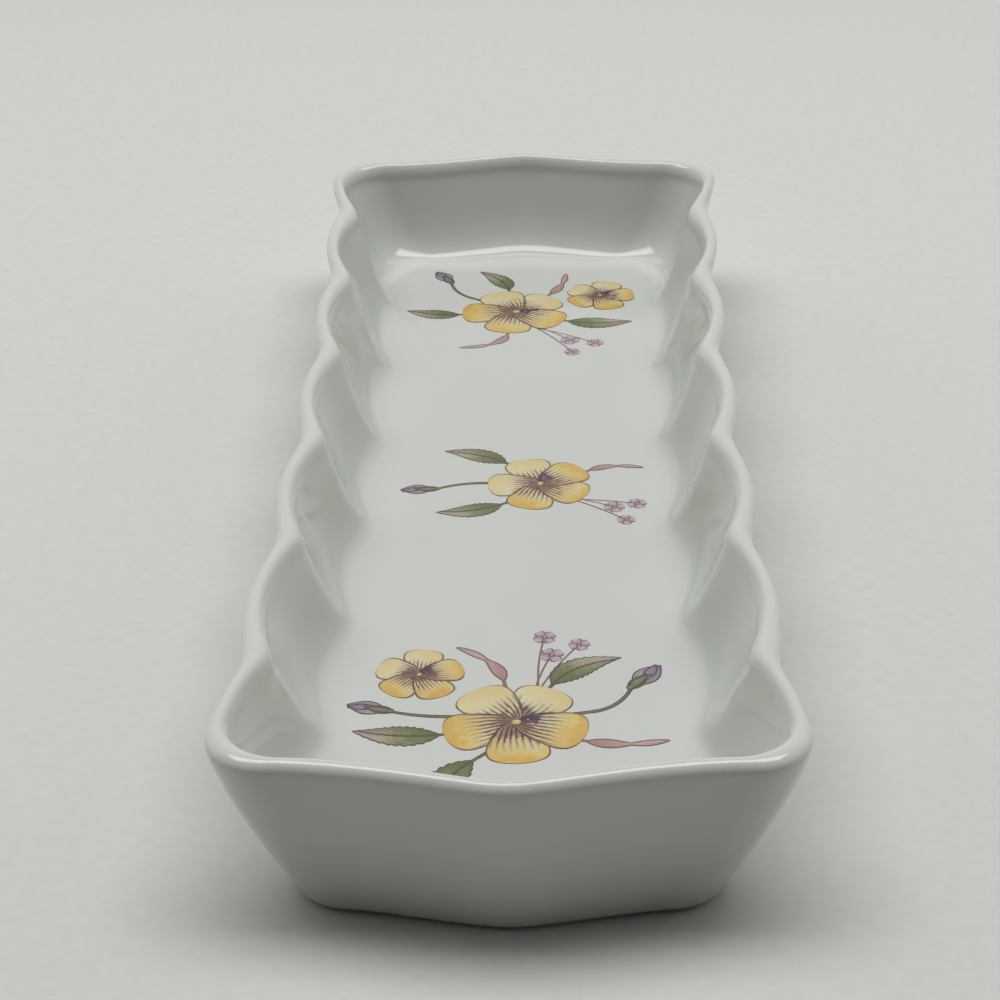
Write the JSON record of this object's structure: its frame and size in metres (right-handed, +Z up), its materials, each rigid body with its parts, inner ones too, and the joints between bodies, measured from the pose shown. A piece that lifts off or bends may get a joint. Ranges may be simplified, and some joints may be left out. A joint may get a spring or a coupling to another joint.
{
  "type": "trinket tray",
  "caption": "Long low porcelain tray with fluted sides, bracket-shaped ends and a rolled rim, for small trinkets, with flower sprays printed in enamel on its floor.",
  "frame": {"origin": "on the plane that the foot rim stands on, under the middle of the tray", "axes": "+X across the tray, +Y along it, away from the end nearest the camera in the picture, +Z up"},
  "size_m": [0.09, 0.2624, 0.0295],
  "materials": {
    "glazed_porcelain": "clear gloss glaze over white porcelain, bare clay on the foot rim",
    "yellow_enamel": "fired on-glaze enamel print, gloss",
    "green_enamel": "fired on-glaze enamel print, gloss",
    "olive_enamel": "fired on-glaze enamel print, gloss",
    "pink_enamel": "fired on-glaze enamel print, gloss",
    "violet_enamel": "fired on-glaze enamel print, gloss",
    "lilac_enamel": "fired on-glaze enamel print, gloss"
  },
  "bodies": {
    "root": {"tray_body": "glazed_porcelain", "front_bloom_large": "yellow_enamel", "front_bloom_small": "yellow_enamel", "front_leaf_left": "green_enamel", "front_leaf_low": "green_enamel", "front_leaf_upper": "green_enamel", "front_ribbon_upper": "pink_enamel", "front_ribbon_right": "pink_enamel", "front_stem_left": "olive_enamel", "front_bud_left": "violet_enamel", "front_stem_right": "olive_enamel", "front_bud_right": "violet_enamel", "front_floret_a": "lilac_enamel", "front_floret_b": "lilac_enamel", "front_floret_c": "lilac_enamel", "middle_bloom": "yellow_enamel", "middle_leaf_upper": "green_enamel", "middle_leaf_lower": "green_enamel", "middle_stem": "olive_enamel", "middle_bud": "violet_enamel", "middle_ribbon": "pink_enamel", "middle_floret_a": "lilac_enamel", "middle_floret_b": "lilac_enamel", "middle_floret_c": "lilac_enamel", "rear_bloom_large": "yellow_enamel", "rear_bloom_small": "yellow_enamel", "rear_leaf_right": "green_enamel", "rear_leaf_left": "green_enamel", "rear_leaf_upper": "green_enamel", "rear_ribbon_lower": "pink_enamel", "rear_ribbon_right": "pink_enamel", "rear_stem_upper": "olive_enamel", "rear_bud_upper": "violet_enamel", "rear_floret_a": "lilac_enamel", "rear_floret_b": "lilac_enamel", "rear_floret_c": "lilac_enamel"}
  },
  "joints": []
}
